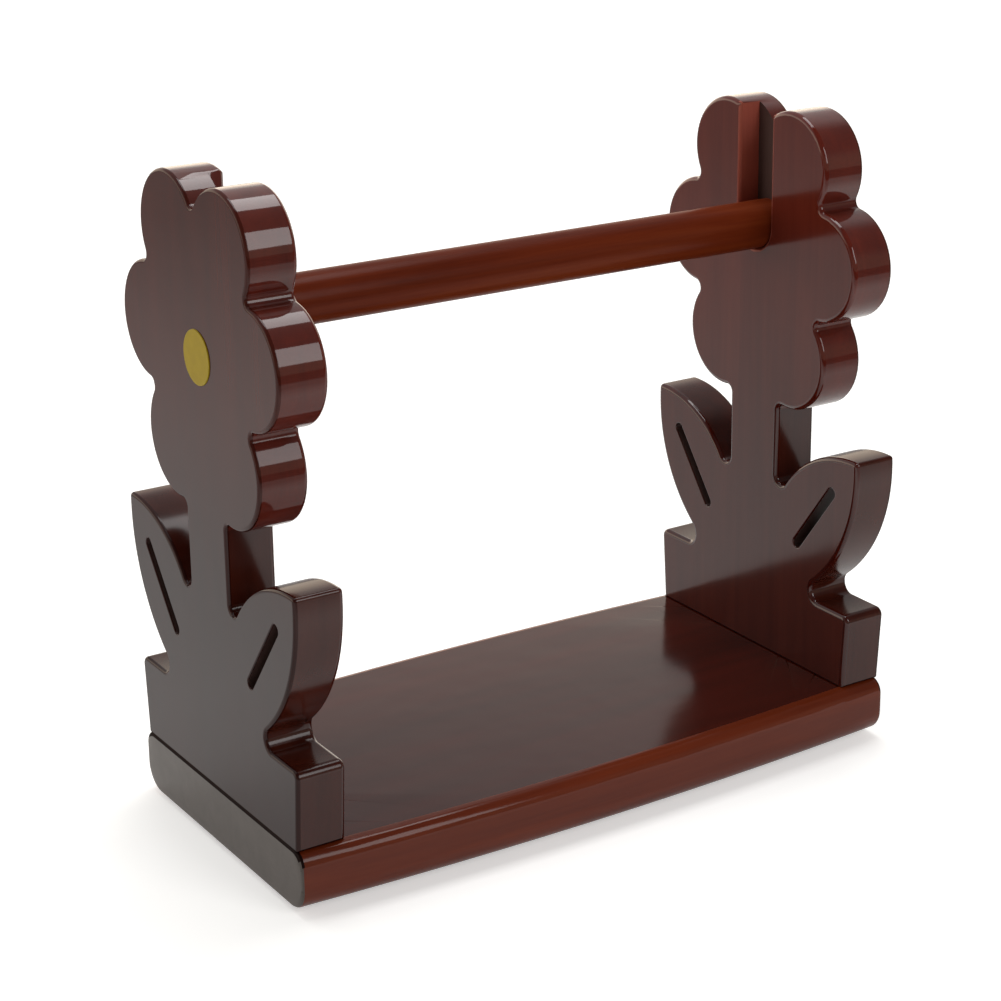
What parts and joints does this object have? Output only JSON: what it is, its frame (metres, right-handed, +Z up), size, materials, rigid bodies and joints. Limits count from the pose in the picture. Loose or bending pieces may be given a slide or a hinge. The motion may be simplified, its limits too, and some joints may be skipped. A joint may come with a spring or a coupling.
{
  "type": "yarn holder",
  "caption": "Tabletop yarn holder: flower-shaped wooden side panels on a bowed base board carry a lift-out wooden rod for balls of yarn.",
  "frame": {"origin": "middle of the footprint, on the surface that the pads stand on", "axes": "+X along the rod to the right panel, -Y towards the front, +Z up"},
  "size_m": [0.2478, 0.128, 0.2362],
  "materials": {
    "dark_wood": "dark mahogany stain under gloss lacquer",
    "rod_wood": "orange-brown stain under gloss lacquer",
    "yellow_paint": "yellow paint under lacquer",
    "zinc_steel": "zinc plated",
    "beech": "raw",
    "pad_rubber": "matt"
  },
  "bodies": {
    "stand": {"base_board": "dark_wood", "left_flower_panel": "dark_wood", "right_flower_panel": "dark_wood", "left_flower_centre": "yellow_paint", "right_flower_centre": "yellow_paint", "left_screws": "zinc_steel", "right_screws": "zinc_steel", "left_dowel_pins": "beech", "right_dowel_pins": "beech", "base_pads": "pad_rubber"},
    "rod": {"rod": "rod_wood"}
  },
  "joints": [
    {"name": "rod_lift", "type": "slide", "parent": "stand", "child": "rod", "axis": [0, 0, 1], "range_m": [0, 0.1]}
  ]
}
